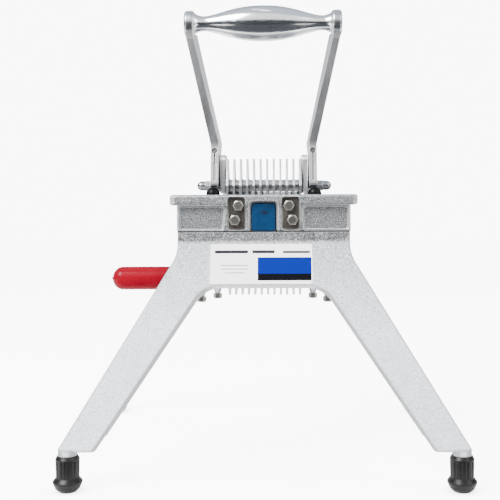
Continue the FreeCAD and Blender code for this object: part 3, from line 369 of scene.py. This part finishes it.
def clamp_plate_finish():
    """Dark phosphated steel, with a painted highlight along its outline."""
    material, tree, shader = new_material("clamp_plate", Metallic=0.55)
    place = object_coordinates(tree)
    fine = noise(tree, place, 700.0, 4.0, 0.7)
    cloud = noise(tree, place, 120.0, 3.0, 0.6)
    colour = mix(tree, remap(tree, fine, 0.35, 0.65), (0.026, 0.023, 0.020, 1), (0.060, 0.055, 0.048, 1))
    colour = mix(tree, remap(tree, cloud, 0.5, 0.75), colour, (0.080, 0.074, 0.064, 1))
    # Painted highlight along the plate's outline.
    colour = mix(tree, edge_mask(tree, 0.0006, 7.0), colour, (0.62, 0.61, 0.58, 1))
    surface(tree, shader, colour, roughness(tree, fine, (0.42, 0.62)))
    bump(tree, shader, fine, 0.2, 0.0003)
    return material


PANEL_BLUE = (0.0, 0.010, 0.17, 1)
PANEL_BLACK = (0.002, 0.002, 0.004, 1)
HEADING_INK = (0.020, 0.020, 0.024, 1)
FADED_INK = (0.050, 0.050, 0.055, 1)
SMALL_INK = (0.25, 0.25, 0.27, 1)
LABEL_BLOCKS = [            # x range, z range and colour
    ((-0.0058, 0.0457), (0.1965, 0.2120), PANEL_BLUE),
    ((-0.0058, 0.0457), (0.1902, 0.1965), PANEL_BLACK),
    ((-0.0470, -0.0150), (0.2158, 0.2186), HEADING_INK),
    ((-0.0110, 0.0105), (0.2158, 0.2186), HEADING_INK),
    ((0.0185, 0.0444), (0.2158, 0.2180), FADED_INK),
    ((-0.0410, -0.0150), (0.2040, 0.2049), SMALL_INK),
    ((-0.0410, -0.0150), (0.2006, 0.2015), SMALL_INK),
    ((-0.0375, -0.0185), (0.1970, 0.1979), SMALL_INK),
]


def label_print():
    """Blank sticker: white ground, a blue panel over a black bar, and plain bars in place of print."""
    material, tree, shader = new_material("label_white", Specular_IOR_Level=0.12, Roughness=0.32)
    place = object_coordinates(tree)
    parts = split(tree, place)
    cloud = noise(tree, place, 140.0, 3.0, 0.6)
    colour = mix(tree, remap(tree, cloud, 0.4, 0.7), (1.0, 1.0, 1.0, 1), (0.96, 0.96, 0.97, 1))
    for x, z, ink in LABEL_BLOCKS:
        across = between(tree, parts["X"], x[0], x[1])
        inside = math_node(tree, "MULTIPLY", across, between(tree, parts["Z"], z[0], z[1]))
        colour = mix(tree, inside, colour, ink)
    tree.links.new(colour, shader.inputs["Base Color"])
    return material


# Speckle of the castings, as rows of position, level and blueness.
CASTING = grey_stops((0.32, 0.04, 0.10), (0.44, 0.18, 0.09), (0.56, 0.34, 0.08), (0.68, 0.95, 0.03))
# Pocket floors a little darker than the rest of the casting: painted shade in the recesses.
POCKET_SHADE = grey_stops((0.32, 0.04, 0.10), (0.45, 0.18, 0.10), (0.56, 0.34, 0.09), (0.69, 0.90, 0.03))
APRON = grey_stops((0.33, 0.10, 0.12), (0.44, 0.33, 0.11), (0.56, 0.52, 0.09), (0.67, 1.0, 0.03))
LEG = grey_stops((0.33, 0.24, 0.13), (0.43, 0.62, 0.12), (0.57, 0.84, 0.10), (0.67, 1.0, 0.02))
LIP = grey_stops((0.34, 0.01, 0.08), (0.46, 0.07, 0.07), (0.56, 0.15, 0.06), (0.68, 0.70, 0.04))
EVEN = (1.0, 1.0, 1.0)      # marks that run in no direction


def make_materials():
    """The finishes, by name: one for each slot of the record, and those of OWN_FINISH."""
    made = [
        cast_metal(
            "cast_frame", CASTING, grain_scale=950.0, metallic=0.8, rough=(0.32, 0.58), edges=grey(0.98),
            edge_radius=0.0014, dirt_and_shade=grey(0.22, 0.1), relief=0.6,
            # The pocket floors take the darker POCKET_SHADE stops: painted shade in the recesses.
            zones=[("Y", -0.1098, -0.1082, POCKET_SHADE), ("Y", -0.1068, -0.1055, CASTING)],
            seam=(0.2360, 0.2375), side_shading=(grey(0.98), 0.35, -0.1050),
        ),
        cast_metal(
            "cast_legs", LEG, grain_scale=850.0, metallic=0.25, rough=(0.42, 0.58), edges=grey(0.34, 0.06),
            edge_radius=0.0026, dirt_and_shade=grey(0.36, 0.06), relief=0.45,
            zones=[("Z", 0.140, 0.222, APRON), ("Z", 0.2250, 0.2285, LIP)],
            seam=(0.2360, 0.2372), side_shading=(grey(0.24, 0.06), 0.9, 1.0),
        ),
        machined_metal(
            "cast_cheek", grey(0.90, 0.03), grey(0.66, 0.05), rough=(0.38, 0.52), stretch=(1.0, 1.0, 0.4),
            edges=grey(1.0), mark_scale=150.0, dirt_and_shade=grey(0.06), outline=grey(0.12),
        ),
        machined_metal(
            "arm_aluminium", grey(0.88, 0.03), grey(0.74, 0.05), rough=(0.32, 0.44), stretch=(1.0, 1.0, 0.3),
            edges=grey(1.0), mark_scale=110.0, dirt_and_shade=grey(0.2), polished_above=0.427,
            side_shading=("Y", grey(0.38, 0.05), 0.75), outline=grey(0.30),
        ),
        polished_grip(),
        machined_metal(
            "fin_aluminium", grey(0.72, 0.04), grey(0.55, 0.06), rough=(0.26, 0.40), stretch=(1.0, 0.5, 2.0),
            edges=grey(0.98), mark_scale=300.0, side_shading=("X", grey(0.26, 0.05), 0.9),
        ),
        machined_metal(
            "rail_aluminium", grey(0.80), grey(0.52, 0.03), rough=(0.28, 0.46), stretch=(0.3, 2.0, 2.0),
            edges=grey(0.92), mark_scale=260.0, dirt_and_shade=grey(0.12),
        ),
        machined_metal(
            "blade_steel", grey(0.72, 0.02), grey(0.50, 0.03), rough=(0.14, 0.28), stretch=(1.0, 0.2, 3.0),
            edges=grey(0.92), mark_scale=300.0,
        ),
        machined_metal(
            "plated_steel", (0.36, 0.35, 0.31, 1), (0.19, 0.18, 0.155, 1), rough=(0.32, 0.50), stretch=EVEN,
            edges=(0.90, 0.89, 0.85, 1), mark_scale=420.0, dirt_and_shade=(0.04, 0.038, 0.034, 1),
        ),
        clamp_plate_finish(),
        block_plastic(),
        rubber("foot_rubber", grey(0.004), grey(0.009), rough=(0.28, 0.44), fine_scale=600.0, shine=0.22),
        rubber("bumper_rubber", grey(0.0015), grey(0.002), rough=(0.30, 0.45), fine_scale=500.0, shine=0.12),
        dipped_vinyl(),
        label_print(),
        machined_metal(
            "spacer_tube", grey(0.95, 0.04), grey(0.70, 0.06), rough=(0.30, 0.45), stretch=(0.3, 1.0, 1.0),
            edges=grey(0.7), mark_scale=260.0,
        ),
        machined_metal(
            "acorn", grey(0.40, 0.04), grey(0.24, 0.06), rough=(0.20, 0.32), stretch=EVEN,
            edges=grey(0.8), mark_scale=300.0, dirt_and_shade=grey(0.04),
        ),
        machined_metal(
            "dark_screw", grey(0.20), grey(0.08), rough=(0.35, 0.5), stretch=EVEN,
            edges=grey(0.35), mark_scale=400.0,
        ),
        machined_metal(
            "bush_bronze", (0.55, 0.38, 0.18, 1), (0.38, 0.25, 0.11, 1), rough=(0.25, 0.4), stretch=EVEN,
            edges=(0.75, 0.56, 0.30, 1), mark_scale=300.0,
        ),
    ]
    return {material.name: material for material in made}


# Nodes that don't take the finish of their slot.
OWN_FINISH = {"fin_spacers": "spacer_tube", "arm_screws": "dark_screw", "acorn_nuts": "acorn"}


def paint_nodes():
    """Each part comes in with a plain material named after its slot, and gets that slot's finish."""
    plain = list(bpy.data.materials)
    for material in plain:
        material.name = "plain_" + material.name
    finishes = make_materials()
    for name, part in nodes.items():
        for material_slot in part.material_slots:
            slot_name = material_slot.material.name.removeprefix("plain_")
            material_slot.material = finishes[OWN_FINISH.get(name, slot_name)]
    for material in plain:
        bpy.data.materials.remove(material)


# ---- stage and light --------------------------------------------------------

FLOOR_HALF = 4.0
WHITE_SEEN = 9.5            # how bright the plain white surroundings look to the camera
WHITE_LIGHT = 1.6           # how bright they are as a light and in reflections
FLOOR_SEEN = 0.78 * WHITE_SEEN
FLOOR_SHADE = 1.5           # the floor's glow right against a part, dimmed into a painted contact shadow
CARD_COLOUR = (0.80, 0.88, 1.0, 1)
WHITE = (1, 1, 1, 1)

FRONT_Y, FRONT_HALF, FRONT_TOP = -1.25, 1.4, 0.72
LOW_HALF, LOW_Y, LOW_Z = 0.7, -0.20, 0.002
SIDE_HALF, TOP_Z = 1.6, 2.1

CARDS = [                   # name, corners and how bright it looks in the metal
    ("card_front", [(-FRONT_HALF, FRONT_Y, 0.0), (FRONT_HALF, FRONT_Y, 0.0),
                    (FRONT_HALF, FRONT_Y, FRONT_TOP), (-FRONT_HALF, FRONT_Y, FRONT_TOP)], 0.07),
    ("card_low", [(-LOW_HALF, FRONT_Y, LOW_Z), (LOW_HALF, FRONT_Y, LOW_Z),
                  (LOW_HALF, LOW_Y, LOW_Z), (-LOW_HALF, LOW_Y, LOW_Z)], 0.12),
    ("card_back", [(-SIDE_HALF, 0.5, TOP_Z), (SIDE_HALF, 0.5, TOP_Z),
                   (SIDE_HALF, 1.9, 0.9), (-SIDE_HALF, 1.9, 0.9)], 0.80),
    ("card_top", [(-SIDE_HALF, -1.3, TOP_Z), (SIDE_HALF, -1.3, TOP_Z),
                  (SIDE_HALF, 0.5, TOP_Z), (-SIDE_HALF, 0.5, TOP_Z)], 1.05),
    ("card_left", [(-SIDE_HALF, -1.0, 0.0), (-SIDE_HALF, 1.2, 0.0),
                   (-SIDE_HALF, 1.2, 1.0), (-SIDE_HALF, -1.0, 1.0)], 0.22),
    ("card_right", [(SIDE_HALF, -1.0, 0.0), (SIDE_HALF, 1.2, 0.0),
                    (SIDE_HALF, 1.2, 1.0), (SIDE_HALF, -1.0, 1.0)], 0.22),
]
LIGHTS = [                  # name, place, aim, size, power in watts, and whether the metal shows it
    ("key", (-1.1, -1.2, 1.7), (0, 0, 0.25), 1.1, 120, True),
    ("fill", (1.5, -0.9, 1.1), (0, 0, 0.25), 1.2, 18, True),
    ("top", (0.0, 0.3, 1.6), (0, 0, 0.3), 0.9, 14, False),
]


def quad(name, corners, material):
    """A flat piece of the stage."""
    mesh = bpy.data.meshes.new(name)
    mesh.from_pydata(corners, [], [(0, 1, 2, 3)])
    mesh.materials.append(material)
    piece = bpy.data.objects.new(name, mesh)
    bpy.context.scene.collection.objects.link(piece)
    return piece


def camera_ray(tree):
    """One for what the camera sees directly, nought for light and reflections."""
    return add(tree, "ShaderNodeLightPath").outputs["Is Camera Ray"]


def add_floor():
    """Pale floor that glows for the camera alone, so that it runs into the white behind, and whose glow dims
    next to the parts into a painted contact shadow.
    """
    material, tree, shader = new_material("floor", Base_Color=(0.95, 0.95, 0.95, 1), Roughness=0.6)
    shader.inputs["Emission Color"].default_value = WHITE
    # Painted contact shadow: ambient occlusion dims the floor's glow next to the parts.
    shade = add(tree, "ShaderNodeAmbientOcclusion", {"Distance": 0.04}, samples=8).outputs["AO"]
    level = remap(tree, shade, 0.0, 0.9, FLOOR_SHADE, FLOOR_SEEN)
    tree.links.new(math_node(tree, "MULTIPLY", camera_ray(tree), level), shader.inputs["Emission Strength"])
    half = FLOOR_HALF
    quad("floor", [(-half, -half, 0), (half, -half, 0), (half, half, 0), (-half, half, 0)], material)


def add_card(name, corners, level):
    """Flat card that only shows in reflections."""
    material = bpy.data.materials.new(name)
    material.use_nodes = True
    tree = material.node_tree
    tree.nodes.remove(tree.nodes["Principled BSDF"])
    glow = add(tree, "ShaderNodeEmission", {"Color": CARD_COLOUR, "Strength": level})
    tree.links.new(glow.outputs[0], tree.nodes["Material Output"].inputs["Surface"])
    card = quad(name, corners, material)
    card.visible_camera = False
    card.visible_diffuse = False
    card.visible_shadow = False
    card.visible_transmission = False


def add_light(name, place, aim, size, power, seen_in_metal):
    """Square area light, turned towards aim."""
    data = bpy.data.lights.new(name, "AREA")
    data.size = size
    data.energy = power
    light = bpy.data.objects.new(name, data)
    bpy.context.scene.collection.objects.link(light)
    light.location = place
    light.visible_glossy = seen_in_metal
    light.rotation_euler = (Vector(aim) - Vector(place)).to_track_quat("-Z", "Y").to_euler()


def add_world():
    """Plain white surroundings, brighter to the camera than as a light."""
    world = bpy.data.worlds.new("world")
    world.use_nodes = True
    tree = world.node_tree
    strength = remap(tree, camera_ray(tree), 0.0, 1.0, WHITE_LIGHT, WHITE_SEEN)
    background = tree.nodes["Background"]
    background.inputs["Color"].default_value = WHITE
    tree.links.new(strength, background.inputs["Strength"])
    bpy.context.scene.world = world


paint_nodes()
add_camera()
add_floor()
for card_row in CARDS:
    add_card(*card_row)
for light_row in LIGHTS:
    add_light(*light_row)
add_world()
